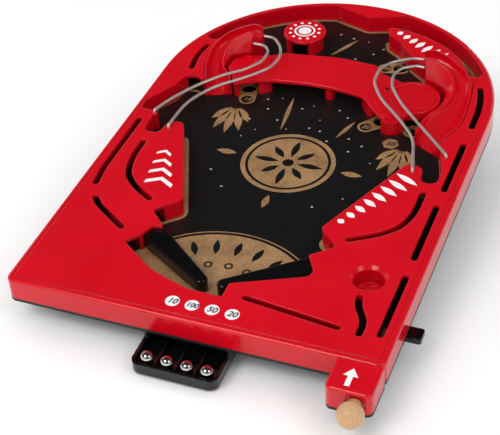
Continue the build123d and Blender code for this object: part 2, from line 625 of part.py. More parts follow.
def button_spring(side):
    start = RADIUS - BUTTON_IN - BSPRING_L
    spring = coil(BSPRING_OD, BSPRING_WIRE, BSPRING_TURNS, BSPRING_L - 0.3)
    y = BUTTON_Y - BUTTON_L / 2 + BSPRING_OD / 2 + 0.6
    z = BUTTON_TOP - BUTTON_H / 2
    spring = Pos(start, y, z) * Rot(0, 90, 0) * spring
    return spring if side > 0 else mirror(spring, Plane.YZ)


def ramp(stations):
    """Banked track that climbs as it turns, on a body that stands on the board."""
    sections = []
    for lip_in, lip_out, floor, skirt in smooth(stations):
        inner, outer = Vector(*lip_in[:2]), Vector(*lip_out[:2])
        width = (outer - inner).length
        frame = Plane(origin=inner, x_dir=outer - inner, z_dir=Vector(0, 0, 1).cross(outer - inner) * -1)
        high_in, high_out = lip_in[2], lip_out[2]
        foot = min(high_in - 0.5, 0.0)
        ends = [(-skirt, FLOOR_Z), (width, FLOOR_Z), (width, high_out),
                (width - TRACK_WALL, high_out)]
        rest = [(TRACK_WALL, high_in), (0, high_in), (-skirt, foot), (-skirt, FLOOR_Z)]
        dip = ThreePointArc(ends[-1], (width / 2, floor), rest[0])
        loop = Polyline(*ends).edges() + dip.edges() + Polyline(*rest).edges()
        sections.append(frame * make_face(loop))
    return loft(sections)


def bridge():
    plate = prism(rounded(BRIDGE_EDGE), -PLATE, 0)
    landing = disc(PLATEAU_X, PLATEAU_Y, 2 * PLATEAU_R)
    body = plate + prism(landing, -PLATEAU_T, 0)
    body = fillet(body.faces().sort_by(Axis.Z)[-1].outer_wire().edges(), 1.2)
    for leg in (LEG_20, LEG_50, LEG_10, LEG_LEFT):
        body += prism(rounded(leg), FLOOR_Z, -PLATE + 0.5)
    body -= prism(disc(VENT_X, VENT_Y, VENT), -PLATE - 1, 1)
    for x, y in SCORING.values():
        body -= prism(disc(x, y, HOLE), FLOOR_Z, -PLATEAU_T)
    return body


def bridge_post():
    return prism(disc(POST_X, POST_Y, POST), FLOOR_Z, -PLATE)


def rail(route):
    path = tube_route(route)
    start = Plane(origin=path @ 0, z_dir=path % 0)
    radius = [e.radius for e in path.edges() if e.geom_type == GeomType.CIRCLE]
    print(f"rail bends from {min(radius):.1f} to {max(radius):.1f} mm")
    return sweep(start * Circle(RAIL / 2), path, transition=Transition.RIGHT)


def bumper_wall():
    ring = Circle(BUMPER_WALL_R) - Circle(BUMPER_WALL_R - 4)
    mouth = Pos(0, -BUMPER_WALL_R) * Rectangle(BUMPER_MOUTH, 2 * BUMPER_WALL_R)
    plan = ring - mouth
    for side in (-1, 1):
        plan += Pos(side * (BUMPER_MOUTH / 2 + 3.5), -BUMPER_WALL_R + 4.5) * Circle(3.5)
    return Pos(BUMPER_X, BUMPER_Y) * prism(plan, FLOOR_Z, -2)


def bumper_cap():
    cap = prism(Circle(BUMPER_CAP), -2, BUMPER_TOP)
    cap = fillet(cap.faces().sort_by(Axis.Z)[-1].edges(), 2)
    cap += prism(Circle(BUMPER_WALL_R - 4 - FIT) - Circle(BUMPER_WALL_R - 6.5), -7, -2)
    return Pos(BUMPER_X, BUMPER_Y) * cap


def tray_ears():
    return [(TRAY_X + side * (TRAY_W / 2 + EAR_OUT), TRAY_EAR_Y) for side in (-1, 1)]


def tray_lane(k):
    """Middle of a tray lane, counted from the left."""
    return TRAY_X + (k - 1.5) * LANE_PITCH


def ball_tray():
    half = TRAY_W / 2
    r = TRAY_ROUND
    plan = Pos(TRAY_X) * rounded([(-half, -TRAY_OUT, r), (half, -TRAY_OUT, r), (half, TRAY_IN, 2),
                                  (-half, TRAY_IN, 2)])
    hollow = Pos(TRAY_X) * rounded([
        (-half + TRAY_WALL, -TRAY_OUT + TRAY_WALL, r - TRAY_WALL),
        (half - TRAY_WALL, -TRAY_OUT + TRAY_WALL, r - TRAY_WALL), (half - TRAY_WALL, TRAY_IN + 1, 0),
        (-half + TRAY_WALL, TRAY_IN + 1, 0)])
    body = prism(plan, TRAY_FLOOR - TRAY_T, BOTTOM_Z)
    lip = Pos(0, -TRAY_OUT / 2 - 0.5) * Rectangle(WIDTH, TRAY_OUT + 1)
    body -= prism(lip, TRAY_RIM, BOTTOM_Z)
    body -= prism(hollow, TRAY_FLOOR, BOTTOM_Z)
    for k in range(3):
        x = (tray_lane(k) + tray_lane(k + 1)) / 2
        y0 = -TRAY_OUT + TRAY_WALL - 0.5
        rib = Pos(x, (y0 + TRAY_IN) / 2) * Rectangle(RIB, TRAY_IN - y0)
        body += prism(rib, TRAY_FLOOR - 0.5, TRAY_RIM - 1.5)
    return add_ears(body, tray_ears())


def ball(k):
    return Pos(tray_lane(k), -TRAY_OUT + TRAY_WALL + 2.6 + BALL / 2,
               TRAY_FLOOR + BALL / 2 + 0.05) * Sphere(BALL / 2)


def return_trough():
    """Open tray under the panel: it takes the balls from the scoring holes down to the tray."""
    outside = rounded(TROUGH_EDGE)
    inside = offset(outside, -TROUGH_T)
    gate = Pos(TRAY_X, 32) * Rectangle(TRAY_W - 2 * TRAY_WALL, 20)
    body = prism(outside, TROUGH_Z, BOTTOM_Z) - prism(inside, TROUGH_Z + TROUGH_T, BOTTOM_Z)
    body -= prism(gate, TROUGH_Z + TROUGH_T, BOTTOM_Z)
    tray = Pos(TRAY_X, 0) * Rectangle(TRAY_W + 2 * FIT, 2 * (TRAY_IN + FIT))
    body -= prism(tray, TROUGH_Z - 1, BOTTOM_Z)
    return add_ears(body, TROUGH_EARS)


def leg(x, y, diameter):
    """Leg from the panel down past the table, to be cut level once the game stands."""
    body = prism(disc(x, y, diameter), BOTTOM_Z - 2 * BACK * math.sin(SLOPE), BOTTOM_Z)
    return body + prism(disc(x, y, diameter + LEG_FLANGE), BOTTOM_Z - 3, BOTTOM_Z)


def stand(shape):
    """Tilt and lift from the deck frame to the table, with the origin under the middle."""
    low = -TRAY_OUT * math.sin(SLOPE) + (TRAY_FLOOR - TRAY_T) * math.cos(SLOPE)
    front = KNOB_Y * math.cos(SLOPE) - BALL_Z * math.sin(SLOPE) - KNOB / 2
    back = BACK * math.cos(SLOPE) - BOTTOM_Z * math.sin(SLOPE)
    return Pos(0, -(front + back) / 2, TABLE_GAP - low) * Rot(TILT, 0, 0) * shape


def slab(low, high):
    """Level slice of space above the table."""
    return Pos(0, 0, (low + high) / 2) * Box(3 * BACK, 3 * BACK, high - low)


def sub_parts():
    """Every sub-part in the deck frame."""
    parts = {
        "top_frame": top_frame(), "playfield_board": playfield_board(), "base_panel": base_panel(),
        "plunger_housing": plunger_housing(), "plunger_rod": plunger_rod(),
        "plunger_knob": plunger_knob(), "plunger_collar": plunger_collar(),
        "plunger_spring": plunger_spring(), "bridge": bridge(), "bridge_post": bridge_post(),
        "ramp_left": ramp(RAMP_LEFT), "ramp_right": ramp(RAMP_RIGHT),
        "rail_left_outer": rail(RAIL_LEFT_OUTER), "rail_left_inner": rail(RAIL_LEFT_INNER),
        "rail_right_inner": rail(RAIL_RIGHT_INNER), "rail_right_outer": rail(RAIL_RIGHT_OUTER),
        "bumper_wall": bumper_wall(), "bumper_cap": bumper_cap(), "ball_tray": ball_tray(),
        "return_trough": return_trough(), "panel_screws": panel_screws(),
        "mount_screws": mount_screws(),
    }
    for name, side in (("left", -1), ("right", 1)):
        parts[f"flipper_{name}"] = flipper(side)
        parts[f"crank_{name}"] = crank(side)
        parts[f"button_{name}"] = button(side)
        parts[f"button_guide_{name}"] = button_guide(side)
        parts[f"button_spring_{name}"] = button_spring(side)
    for k in range(4):
        parts[f"ball_{k + 1}"] = ball(k)
    return parts


def legs_and_pads():
    """Feet, legs and their pads, cut level on the table."""
    parts = {}
    for name, side in (("left", -1), ("right", 1)):
        for kind, x, y, diameter in (("front_foot", FOOT_X, FOOT_Y, FOOT_D),
                                     ("rear_leg", LEG_X, LEG_Y, LEG_D)):
            body = stand(leg(side * x, y, diameter))
            pad = stand(prism(disc(side * x, y, diameter + 2), -2 * WIDTH, BOTTOM_Z - 4))
            parts[f"{kind}_{name}"] = body & slab(PAD_T, WIDTH)
            parts[f"{kind}_pad_{name}"] = pad & slab(0, PAD_T)
    return parts


def main():
    os.makedirs("parts", exist_ok=True)
    for name, shape in sub_parts().items():
        export_step(stand(shape), f"parts/{name}.step")
    for name, shape in legs_and_pads().items():
        export_step(shape, f"parts/{name}.step")


main()
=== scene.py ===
"""Tabletop pinball game: materials, prints, small dressings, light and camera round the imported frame."""
import json
import math

import bpy
from mathutils import Matrix, Vector


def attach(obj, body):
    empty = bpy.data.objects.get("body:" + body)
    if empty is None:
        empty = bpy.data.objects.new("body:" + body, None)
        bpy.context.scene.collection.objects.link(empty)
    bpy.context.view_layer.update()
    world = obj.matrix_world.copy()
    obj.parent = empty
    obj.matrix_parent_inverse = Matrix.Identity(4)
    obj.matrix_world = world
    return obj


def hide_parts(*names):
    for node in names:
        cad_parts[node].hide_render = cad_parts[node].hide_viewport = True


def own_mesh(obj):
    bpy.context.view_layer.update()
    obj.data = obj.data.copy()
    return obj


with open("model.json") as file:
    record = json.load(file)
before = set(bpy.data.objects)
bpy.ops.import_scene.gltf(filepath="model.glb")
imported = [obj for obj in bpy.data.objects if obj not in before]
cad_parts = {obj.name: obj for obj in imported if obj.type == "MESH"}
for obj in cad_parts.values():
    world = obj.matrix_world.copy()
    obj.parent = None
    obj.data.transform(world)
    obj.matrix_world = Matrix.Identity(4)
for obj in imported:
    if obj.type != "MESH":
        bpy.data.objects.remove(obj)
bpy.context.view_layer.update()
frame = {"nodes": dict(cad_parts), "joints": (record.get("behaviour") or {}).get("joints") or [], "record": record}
NODES = frame["nodes"]

# The deck frame, in millimetres: X runs to the right, Y to the arch, Z up off the deck
DECK_TOP = 0.0
BOARD_TOP = -19.0
CAP_TOP = 1.5
PRINT = 0.06                 # thickness of a printed layer
SINK = 0.01                  # how far a printed layer reaches into what it lies on
BODY_HALF = 175.0            # half of the tray's width
ARCH_Y = 354.0               # centre of the arch
FLIPPER = Vector((-73.0, 101.0, -17.5))   # the left flipper's pivot


def deck_matrix():
    """From the deck frame in millimetres to the row frame in metres, from the left flipper's hinge."""
    hinge = next(j for j in frame["joints"] if j["name"] == "flipper_left_hinge")
    tilt = math.atan2(-hinge["axis"][1], hinge["axis"][2])
    turn = Matrix.Rotation(tilt, 4, "X") @ Matrix.Scale(0.001, 4)
    return Matrix.Translation(Vector(hinge["pos_m"]) - turn @ FLIPPER) @ turn


DECK = deck_matrix()


# Material nodes: scales are in features per metre, depths and radii in metres
NOISE_LOW, NOISE_HIGH = 0.3, 0.7     # most values of a noise lie between these


def new_material(name, roughness, metallic=0.0, coat=0.0):
    """A principled material, with its node tree, its shader and its coordinates in metres."""
    material = bpy.data.materials.new(name)
    material.use_nodes = True
    tree = material.node_tree
    shader = tree.nodes["Principled BSDF"]
    shader.inputs["Roughness"].default_value = roughness
    shader.inputs["Metallic"].default_value = metallic
    shader.inputs["Coat Weight"].default_value = coat
    place = tree.nodes.new("ShaderNodeTexCoord").outputs["Object"]
    return material, tree, shader, place


def noise(tree, place, scale, detail, stretch=None):
    """Noise value, finer along an axis where the stretch is larger."""
    if stretch:
        mapping = tree.nodes.new("ShaderNodeMapping")
        mapping.inputs["Scale"].default_value = stretch
        tree.links.new(place, mapping.inputs["Vector"])
        place = mapping.outputs["Vector"]
    node = tree.nodes.new("ShaderNodeTexNoise")
    node.inputs["Scale"].default_value = scale
    node.inputs["Detail"].default_value = detail
    tree.links.new(place, node.inputs["Vector"])
    return node.outputs["Fac"]


def mix(tree, first, second, share):
    """The first value with a share of the second."""
    node = tree.nodes.new("ShaderNodeMix")
    node.inputs["Factor"].default_value = share
    tree.links.new(first, node.inputs["A"])
    tree.links.new(second, node.inputs["B"])
    return node.outputs["Result"]


def colour(tree, shader, value, stops):
    """Base colour from a ramp over a value, given as (position, colour) pairs."""
    node = tree.nodes.new("ShaderNodeValToRGB")
    while len(node.color_ramp.elements) < len(stops):
        node.color_ramp.elements.new(0.5)
    for element, (position, shade) in zip(node.color_ramp.elements, stops):
        element.position = position
        element.color = (*shade, 1.0)
    tree.links.new(value, node.inputs["Fac"])
    tree.links.new(node.outputs["Color"], shader.inputs["Base Color"])


def tint(tree, shader, value, dark, light):
    """Base colour that wanders between two shades."""
    colour(tree, shader, value, [(NOISE_LOW, dark), (NOISE_HIGH, light)])


def gloss(tree, shader, value, low, high):
    """Roughness that wanders between two levels."""
    node = tree.nodes.new("ShaderNodeMapRange")
    node.inputs["From Min"].default_value = NOISE_LOW
    node.inputs["From Max"].default_value = NOISE_HIGH
    node.inputs["To Min"].default_value = low
    node.inputs["To Max"].default_value = high
    tree.links.new(value, node.inputs["Value"])
    tree.links.new(node.outputs["Result"], shader.inputs["Roughness"])


def rounded_off(tree, radius, samples):
    """Normals that round the edges off by a radius."""
    node = tree.nodes.new("ShaderNodeBevel")
    node.samples = samples
    node.inputs["Radius"].default_value = radius
    return node.outputs["Normal"]


def bump(tree, shader, height, depth, strength, edge=0.0):
    """Relief from a height, on edges that are rounded off by a radius."""
    node = tree.nodes.new("ShaderNodeBump")
    if edge:
        tree.links.new(rounded_off(tree, edge, 6), node.inputs["Normal"])
    node.inputs["Strength"].default_value = strength
    node.inputs["Distance"].default_value = depth
    tree.links.new(height, node.inputs["Height"])
    tree.links.new(node.outputs["Normal"], shader.inputs["Normal"])


def moulded(name, dark, light, roughness, edge):
    """Injection-moulded plastic: a faint flow in its colour, uneven gloss and a fine skin."""
    flow, wear, skin, depth = 14, 30, 120, 0.00002
    material, tree, shader, place = new_material(name, roughness)
    tint(tree, shader, noise(tree, place, flow, 2), dark, light)
    gloss(tree, shader, noise(tree, place, wear, 2), roughness * 0.9, roughness * 1.12)
    bump(tree, shader, noise(tree, place, skin, 2), depth, 0.3, edge)
    return material


def hardboard():
    """Bare hardboard: pressed fibres, with darker flecks."""
    fibre, cloud, depth = 700, 45, 0.00004
    material, tree, shader, place = new_material("hardboard", 0.55)
    fibres = noise(tree, place, fibre, 6, (1, 0.45, 1))
    flecks = mix(tree, fibres, noise(tree, place, cloud, 3), 0.45)
    colour(tree, shader, flecks, [(0.32, (0.175, 0.088, 0.032)), (0.47, (0.285, 0.15, 0.058)),
                                  (0.62, (0.38, 0.21, 0.086))])
    gloss(tree, shader, fibres, 0.48, 0.62)
    bump(tree, shader, fibres, depth, 0.5)
    return material


def ink(name, dark, light, roughness):
    """Printed ink, with the board's fibres or the plastic's skin just showing through."""
    cloud, wear, fibre, depth = 500, 40, 700, 0.00002
    material, tree, shader, place = new_material(name, roughness)
    tint(tree, shader, noise(tree, place, cloud, 4), dark, light)
    gloss(tree, shader, noise(tree, place, wear, 3), roughness * 0.85, roughness * 1.2)
    bump(tree, shader, noise(tree, place, fibre, 4), depth, 0.4)
    return material


def metal(name, dark, light, roughness, metallic=1.0, smooth=0.0):
    """Steel with a faint cloud in its colour and gloss, its facets smoothed over a radius."""
    cloud = 90
    material, tree, shader, place = new_material(name, roughness, metallic=metallic)
    if smooth:
        tree.links.new(rounded_off(tree, smooth, 8), shader.inputs["Normal"])
    value = noise(tree, place, cloud, 2)
    tint(tree, shader, value, dark, light)
    gloss(tree, shader, value, roughness * 0.9, roughness * 1.15)
    return material


def beech():
    """Varnished beech turned on its long axis: fine flecks and faint year rings."""
    ring, warp, fleck, depth = 110, 60, 1500, 0.00003
    material, tree, shader, place = new_material("beech", 0.38, coat=0.15)
    wave = tree.nodes.new("ShaderNodeTexWave")
    wave.bands_direction = "X"
    wave.inputs["Scale"].default_value = ring
    wave.inputs["Distortion"].default_value = 3.0
    wave.inputs["Detail"].default_value = 3.0
    wave.inputs["Detail Scale"].default_value = 1.5
    tree.links.new(place, wave.inputs["Vector"])
    rings = mix(tree, wave.outputs["Fac"], noise(tree, place, warp, 3, (1, 0.3, 1)), 0.5)
    flecks = noise(tree, place, fleck, 2, (1, 0.08, 1))
    grain = mix(tree, rings, flecks, 0.35)
    colour(tree, shader, grain, [(0.2, (0.50, 0.28, 0.13)), (0.5, (0.56, 0.33, 0.16)),
                                 (0.8, (0.62, 0.38, 0.20))])
    bump(tree, shader, flecks, depth, 0.4)
    return material


def rubber():
    """Matt black rubber with a fine grain."""
    cloud, grain, depth = 300, 1200, 0.00005
    material, tree, shader, place = new_material("pad_rubber", 0.85)
    tint(tree, shader, noise(tree, place, cloud, 4), (0.018, 0.018, 0.018), (0.03, 0.03, 0.031))
    bump(tree, shader, noise(tree, place, grain, 2), depth, 0.6)
    return material


MATERIALS = {
    "red_plastic": moulded("red_plastic", (0.555, 0.0004, 0.008), (0.605, 0.0008, 0.0105), 0.17, 0.0017),
    "black_plastic": moulded("black_plastic", (0.002, 0.002, 0.0022), (0.0035, 0.0035, 0.004),
                             0.16, 0.0014),
    "hardboard": hardboard(),
    "black_board": ink("black_board", (0.006, 0.006, 0.006), (0.012, 0.012, 0.012), 0.6),
    "black_ink": ink("black_ink", (0.0045, 0.004, 0.0042), (0.0075, 0.007, 0.0072), 0.36),
    "white_ink": ink("white_ink", (0.76, 0.75, 0.75), (0.84, 0.83, 0.83), 0.4),
    "pale_ink": ink("pale_ink", (0.32, 0.31, 0.30), (0.42, 0.41, 0.40), 0.5),
    "number_ink": ink("number_ink", (0.02, 0.012, 0.012), (0.035, 0.02, 0.02), 0.4),
    "rail_steel": metal("rail_steel", (0.72, 0.64, 0.59), (0.80, 0.72, 0.67), 0.3, 0.75, 0.0009),
    "ball_steel": metal("ball_steel", (0.72, 0.70, 0.68), (0.76, 0.74, 0.72), 0.15),
    "steel": metal("steel", (0.5, 0.5, 0.5), (0.62, 0.62, 0.62), 0.3),
    "spring_steel": metal("spring_steel", (0.45, 0.45, 0.46), (0.56, 0.56, 0.57), 0.32),
    "screw_steel": metal("screw_steel", (0.5, 0.5, 0.48), (0.62, 0.62, 0.6), 0.35),
    "beech": beech(),
    "pad_rubber": rubber(),
}


def dress(obj, material):
    obj.data.materials.clear()
    obj.data.materials.append(MATERIALS[material])


def dress_nodes():
    """Each carried-over part takes the material of its slot in the record."""
    for part in frame["record"]["subparts"]:
        dress(NODES[part["node"]], part["material_slot"])


def link(obj):
    bpy.context.scene.collection.objects.link(obj)


def piece(name, mesh, material):
    """A mesh drawn in the deck frame becomes a piece of the body."""
    mesh.transform(DECK)
    obj = bpy.data.objects.new(name, mesh)
    link(obj)
    dress(obj, material)
    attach(obj, "body")


# Flat shapes, as loops of points in the deck frame
LEAST_RADIUS = 0.2           # corners with less stay sharp
LEAST_TURN = 0.02            # and so do those that turn by less, in radians
ARC_STEP = 0.25              # radians between the points of a rounded corner
LEAF_STEPS = 12


def ring_points(x, y, radius, count=48):
    turn = 2 * math.pi / count
    return [(x + radius * math.cos(k * turn), y + radius * math.sin(k * turn)) for k in range(count)]


def arc_points(x, y, radius, start, end, count):
    """Points of an arc between two angles in degrees."""
    step = math.radians(end - start) / count
    first = math.radians(start)
    return [(x + radius * math.cos(first + k * step), y + radius * math.sin(first + k * step))
            for k in range(count + 1)]


def band(points, width):
    """Strip of constant width along open points, with square ends."""
    left, right = [], []
    for k, point in enumerate(points):
        here = Vector(point)
        before = Vector(points[max(k - 1, 0)])
        after = Vector(points[min(k + 1, len(points) - 1)])
        side = (after - before).normalized()
        side = Vector((-side.y, side.x)) * width / 2
        left.append(tuple(here + side))
        right.append(tuple(here - side))
    return left + right[::-1]


def rounded(corners):
    """Closed loop with its corners (x, y, radius) rounded."""
    loop = []
    count = len(corners)
    for k, (x, y, radius) in enumerate(corners):
        here = Vector((x, y))
        to_last = (Vector(corners[k - 1][:2]) - here).normalized()
        to_next = (Vector(corners[(k + 1) % count][:2]) - here).normalized()
        turn = math.pi - to_last.angle(to_next, 0.0)
        if radius < LEAST_RADIUS or turn < LEAST_TURN:
            loop.append((x, y))
            continue
        reach = radius * math.tan(turn / 2)
        start, end = here + to_last * reach, here + to_next * reach
        middle = here + (to_last + to_next).normalized() * (radius / math.cos(turn / 2))
        first = start - middle
        sweep = first.angle_signed(end - middle, 0.0)
        steps = max(2, int(turn / ARC_STEP))
        for n in range(steps + 1):
            spot = first.copy()
            spot.rotate(Matrix.Rotation(-sweep * n / steps, 2))
            loop.append(tuple(middle + spot))
    return loop


def leaf(x, y, long, wide, angle):
    """Slim closed shape of two arcs, its long axis at an angle in degrees."""
    a = math.radians(angle)
    along, across = Vector((math.cos(a), math.sin(a))), Vector((-math.sin(a), math.cos(a)))
    loop = []
    for side in (1, -1):
        for k in range(LEAF_STEPS):
            share = k / LEAF_STEPS
            bulge = math.sin(math.pi * share) * wide / 2
            spot = Vector((x, y)) + side * (along * (0.5 - share) * long + across * bulge)
            loop.append(tuple(spot))
    return loop


def hull(points):
    """Convex outline round points."""
    ordered = sorted(points)
    sides = []
    for run in (ordered, ordered[::-1]):
        side = []
        for point in run:
            while len(side) > 1 and bend(side[-2], side[-1], point) <= 0:
                side.pop()
            side.append(point)
        sides += side[:-1]
    return sides


def bend(first, second, third):
    """Positive where three points turn to the left."""
    return ((second[0] - first[0]) * (third[1] - first[1])
            - (second[1] - first[1]) * (third[0] - first[0]))


# Prints, as closed thin plates
NUMBER_SLOPE = 0.22
NUMBER_WEIGHT = 0.22         # how much the digits' strokes are widened


def plate(name, loops, level, material):
    """Print over the loops, where a loop inside another is a hole."""
    curve = bpy.data.curves.new(name, "CURVE")
    curve.dimensions = "2D"
    curve.fill_mode = "BOTH"
    curve.extrude = PRINT / 2
    for loop in loops:
        spline = curve.splines.new("POLY")
        spline.points.add(len(loop) - 1)
        for point, (x, y) in zip(spline.points, loop):
            point.co = (x, y, 0.0, 1.0)
        spline.use_cyclic_u = True
    lay(name, curve, (0, 0, level), material)


def number(name, words, x, y, size, level, material):
    """Sloping number centred on a point."""
    text = bpy.data.curves.new(name, "FONT")
    text.body = words
    text.size = size
    text.align_x = "CENTER"
    text.align_y = "CENTER"
    text.shear = NUMBER_SLOPE
    text.offset = NUMBER_WEIGHT
    text.extrude = PRINT / 2
    lay(name, text, (x, y, level), material)


def lay(name, curve, place, material):
    """Turns a curve or text into a print whose underside is at a place, a little sunk in."""
    drawing = bpy.data.objects.new(name + "_drawing", curve)
    mesh = bpy.data.meshes.new_from_object(drawing)
    bpy.data.objects.remove(drawing)
    mesh.transform(Matrix.Translation(place) @ Matrix.Translation((0, 0, PRINT / 2 - SINK)))
    mesh.name = name
    piece(name, mesh, material)


# The walls round the field, anticlockwise: x, y, corner radius
RIGHT_WALL = [
    (72, 110, 2), (91.5, 128, 5), (69.5, 148.5, 7), (118, 264, 9), (134, 260.5, 8.8),
    (135.7, 239.2, 7.5), (152, 239.2, 7.5), (152, 258, 30), (138.9, 301.1, 1.5), (128, 330, 5),
    (138, 375, 5), (126, 408, 5), (97, 421, 3), (66, 446, 8), (52, 464, 20), (36, 475, 6),
    (31, 488, 3), (60, 487, 30), (100, 468.5, 60), (130, 446, 5),
]
CUSP = [(43, 516.9, 8), (3, 503.5, 8), (-37, 517.4, 8)]
LEFT_WALL = [
    (-150, 430, 3), (-128, 410, 5), (-126, 372, 8), (-119, 345, 4), (-127.2, 339.4, 2),
    (-135, 345, 6), (-146, 341, 5), (-150, 322, 20), (-168, 288, 12), (-168, 273.6, 7),
    (-152.8, 273.6, 6), (-149, 238.6, 8), (-132, 238.6, 8), (-131, 259.5, 9), (-115, 264, 8),
    (-66.5, 148.5, 8),
]
LEFT_CORNER = [(-88.5, 128, 5), (-68, 108, 2)]
FRONT_WALL = [               # from the left flipper along the drain to the right flipper
    (-78, 106.5, 4), (-94.5, 79, 3), (-55, 50.5, 60), (-15, 37.4, 30), (18, 37, 2), (18, 54.8, 3),
    (86, 86, 9),
]
ARCH_INNER = 168.5           # radius of the arch's inner wall
ARCH_RIGHT, ARCH_LEFT = (35, 74), (105, 150)     # degrees round the arch to either side of the cusp
ARCH_STEPS = 14

# The black field's edge
MARGIN = 3.4                 # bare board left along the walls
MOUTH_MARGIN = 0.6           # and in the lanes' mouths
MOUTH_X, MOUTH_Y = 125.0, 345.0      # the mouths lie beyond the one and below the other
DOME_Y, DOME_R = 40.0, 100.5     # the bare dome in front of the flippers, on the middle line
DOME_END = 66.0              # how far the dome reaches to either side
DOME_RIGHT, DOME_LEFT = 52, 130      # degrees where it meets the walls
BORDER_IN, BORDER_FRONT = 5.9, 6.0   # from the body's side and front to the black sheet under the deck
BORDER_OVER = 0.3            # how far that sheet stops outside the walls
MITRE, LONGEST = 0.35, 2.0   # limits to how far a sharp corner of an inset moves
INSET_RADIUS = 1.0           # the least radius of an inset's corner


def walls():
    """The walls round the upper field: up the right side, round the arch, down the left side."""
    right = arc_points(0, ARCH_Y, ARCH_INNER, *ARCH_RIGHT, ARCH_STEPS)
    left = arc_points(0, ARCH_Y, ARCH_INNER, *ARCH_LEFT, ARCH_STEPS)
    return RIGHT_WALL + sharp(right) + CUSP + sharp(left) + LEFT_WALL + LEFT_CORNER


def sharp(points):
    """Points as corners without a radius."""
    return [(x, y, 0) for x, y in points]


def margin(x, y):
    """Width of the bare board at a corner of the walls; the dome's own line has none."""
    if abs(x) < DOME_END and y < DOME_Y + DOME_R + 1:
        return 0.0
    return MOUTH_MARGIN if abs(x) > MOUTH_X and y < MOUTH_Y else MARGIN


def inset(corners, width):
    """Closed outline moved to its left, corner by corner, by the width that a function gives."""
    moved = []
    count = len(corners)
    for k, (x, y, radius) in enumerate(corners):
        distance = width(x, y)
        here = Vector((x, y))
        before = (here - Vector(corners[k - 1][:2])).normalized()
        after = (Vector(corners[(k + 1) % count][:2]) - here).normalized()
        normal = Vector((-before.y, before.x))
        middle = (normal + Vector((-after.y, after.x))).normalized()
        spot = here + middle * distance * min(1 / max(middle.dot(normal), MITRE), LONGEST)
        hollow = before.x * after.y - before.y * after.x < 0
        moved.append((spot.x, spot.y, max(radius + (distance if hollow else -distance), INSET_RADIUS)))
    return moved


def dome(radius, start, end):
    """Arc of the dome over the board, between two angles in degrees."""
    return arc_points(0, DOME_Y, radius, start, end, 36)


def field_print():
    """Outline of the black field: the walls, a margin inside, closed by the dome's arc."""
    return rounded(inset(walls() + sharp(dome(DOME_R, DOME_LEFT, DOME_RIGHT)), margin))


def make_black_under_deck():
    """Black over the board under the deck, where only the slots show it."""
    half = BODY_HALF - BORDER_IN
    body = [(-half, BORDER_FRONT), (half, BORDER_FRONT)] + arc_points(0, ARCH_Y, half, 0, 180, 60)
    field = rounded(inset(walls() + FRONT_WALL, lambda x, y: -BORDER_OVER))
    # A black sheet over the board under the deck, seen only through the slots
    plate("black_under_deck", [body, field], BOARD_TOP, "black_ink")


# What is left bare in the black field: places, then length, width and angle of a leaf
DISC_X, DISC_Y, DISC_R = -1.0, 254.0, 47.0
RING_OUT, RING_IN, HUB = 0.90, 0.84, 0.12        # shares of the disc's radius
DISC_LEAVES = 8
PETAL_START, PETAL_WIDE, PETAL_LONG, PETAL_SHORT = 0.2, 0.15, 0.56, 0.44
LEFT_FAN = (-86, 333, -84)       # where a fan starts and which way it spreads
RIGHT_FAN = (100, 312, -92)
FAN_LEAVES, FAN_SPREAD = 5, 17   # how many leaves, and the degrees between them
FAN_START, FAN_LONG, FAN_WIDE, FAN_SHRINK = 7.0, 44.0, 9.0, 0.09
SIDE_LEAVES = [(-30, 332, 60, 4.5, 96), (-66, 254, 22, 8, 0), (64, 254, 22, 8, 0), (-1, 191, 20, 7, 90),
               (36, 322, 34, 4.5, 72), (-12, 466, 44, 4.5, 62)]
HOLES = {"10": (-84.6, 363.4), "100": (57.5, 444), "20": (66, 346), "50": (101.9, 338.5)}
MARKS = {"10": (-79.3, 344.0), "100": (42.5, 439.5), "20": (54.0, 332.5), "50": (86.0, 312.5)}
HEXAGON = "50"               # the mark that is a bare hexagon apart from its hole
MARK_R, MARK_BED, HOLE_BED = 6.2, 8.6, 10.6
MARK_SIZE = {"10": 8.4, "100": 6.2, "20": 8.4, "50": 9.0}


def rosette(x, y, radius):
    """Bare disc with a printed ring, a hub and leaves, long and short in turn."""
    loops = [ring_points(x, y, radius * share, 96) for share in (1, RING_OUT, RING_IN)]
    loops.append(ring_points(x, y, radius * HUB, 24))
    for k in range(DISC_LEAVES):
        angle = 360 / DISC_LEAVES * k
        a = math.radians(angle)
        long = radius * (PETAL_LONG if k % 2 == 0 else PETAL_SHORT)
        reach = radius * PETAL_START + long / 2
        loops.append(leaf(x + reach * math.cos(a), y + reach * math.sin(a), long, radius * PETAL_WIDE,
                          angle))
    return loops


def fan(x, y, angle):
    """Bare leaves that spread from a point, the middle one at an angle in degrees."""
    loops = []
    for k in range(FAN_LEAVES):
        offset = k - (FAN_LEAVES - 1) / 2
        long = FAN_LONG * (1 - FAN_SHRINK * offset * offset)
        a = math.radians(angle + FAN_SPREAD * offset)
        reach = FAN_START + long / 2
        loops.append(leaf(x + reach * math.cos(a), y + reach * math.sin(a), long, FAN_WIDE,
                          math.degrees(a)))
    return loops


def score_bed(words):
    """Bare patch round a scoring hole and its number."""
    return hull(ring_points(*HOLES[words], HOLE_BED) + ring_points(*MARKS[words], MARK_BED))


def make_board_print():
    """The black field with its bare figures."""
    loops = [field_print()] + rosette(DISC_X, DISC_Y, DISC_R)
    loops += fan(*LEFT_FAN) + fan(*RIGHT_FAN)
    loops += [leaf(*shape) for shape in SIDE_LEAVES]
    for words in ("10", "20", "100"):
        loops += [score_bed(words), ring_points(*MARKS[words], MARK_R, 32)]
    loops += [ring_points(*HOLES[HEXAGON], HOLE_BED), ring_points(*MARKS[HEXAGON], MARK_BED, 6)]
    plate("board_print", loops, BOARD_TOP, "black_ink")


